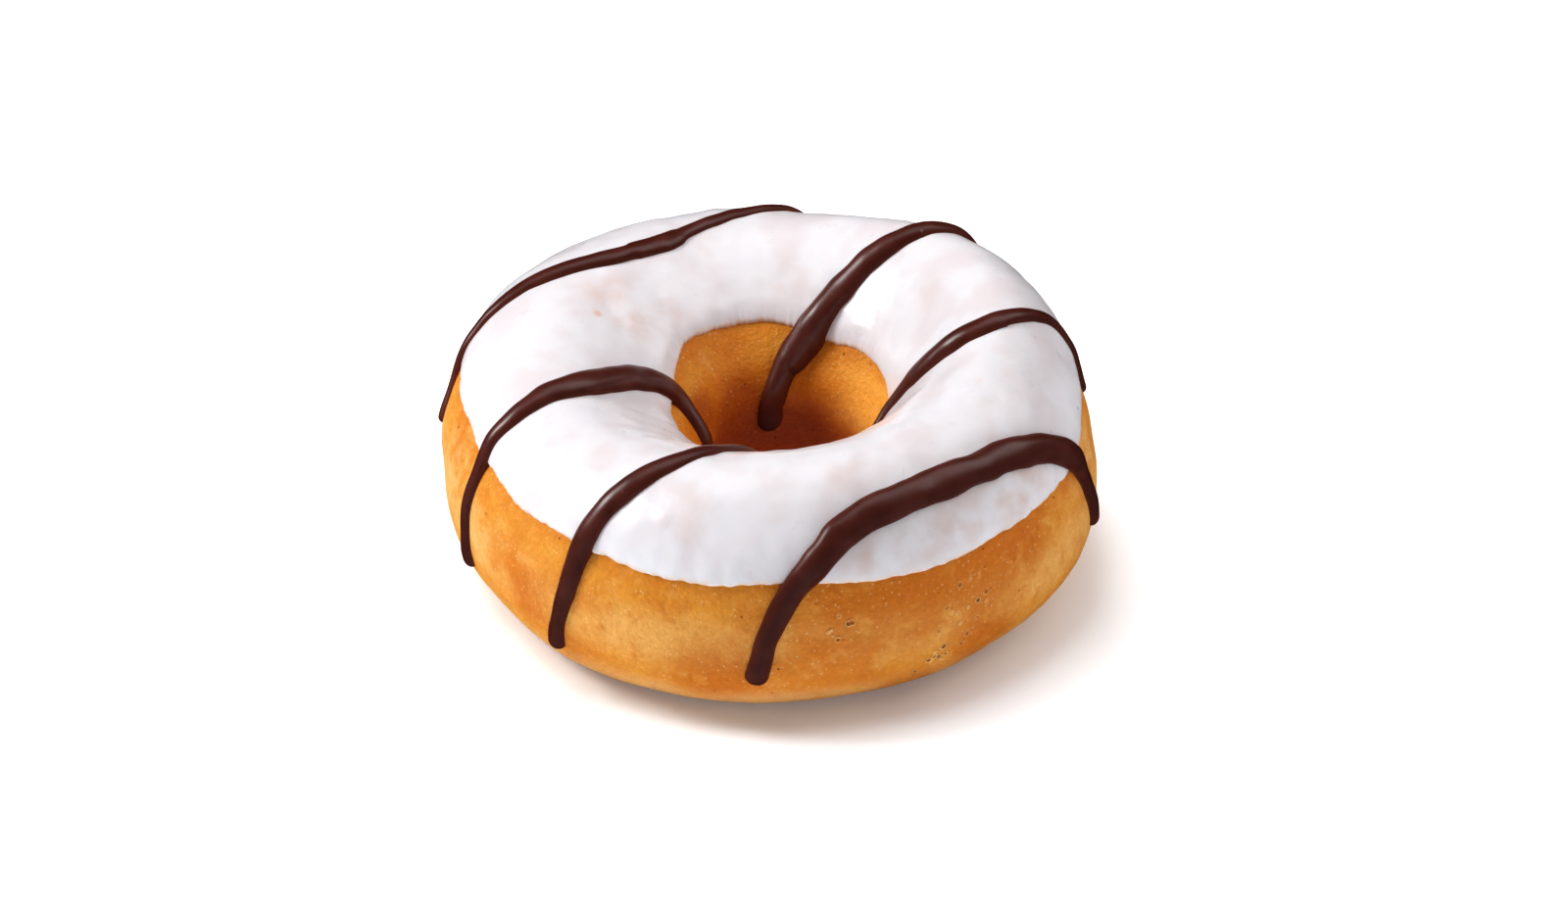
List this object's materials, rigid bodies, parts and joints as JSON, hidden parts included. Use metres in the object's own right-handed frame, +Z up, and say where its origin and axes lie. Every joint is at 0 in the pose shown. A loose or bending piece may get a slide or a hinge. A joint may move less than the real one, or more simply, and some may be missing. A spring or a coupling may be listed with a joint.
{
  "type": "iced ring doughnut",
  "caption": "Ring doughnut of golden fried dough with a smooth white icing cap and wavy chocolate lines drizzled slantwise across the top.",
  "frame": {"origin": "middle of the whole box at its base, on the surface the doughnut rests on", "axes": "+Z up along the hole, -Y towards the side seen in the picture, +X to the right there"},
  "size_m": [0.0928, 0.0926, 0.0415],
  "materials": {
    "fried_dough": "matte fried crust, golden brown with a paler waist and fine pits",
    "white_icing": "smooth set sugar icing with a soft gloss",
    "chocolate": "satin dark chocolate, softly rounded"
  },
  "bodies": {
    "root": {"dough_ring": "fried_dough", "white_icing": "white_icing", "chocolate_line_rear_left": "chocolate", "chocolate_line_left": "chocolate", "chocolate_line_rear": "chocolate", "chocolate_line_front_left": "chocolate", "chocolate_line_right": "chocolate", "chocolate_line_front_right": "chocolate"}
  },
  "joints": []
}
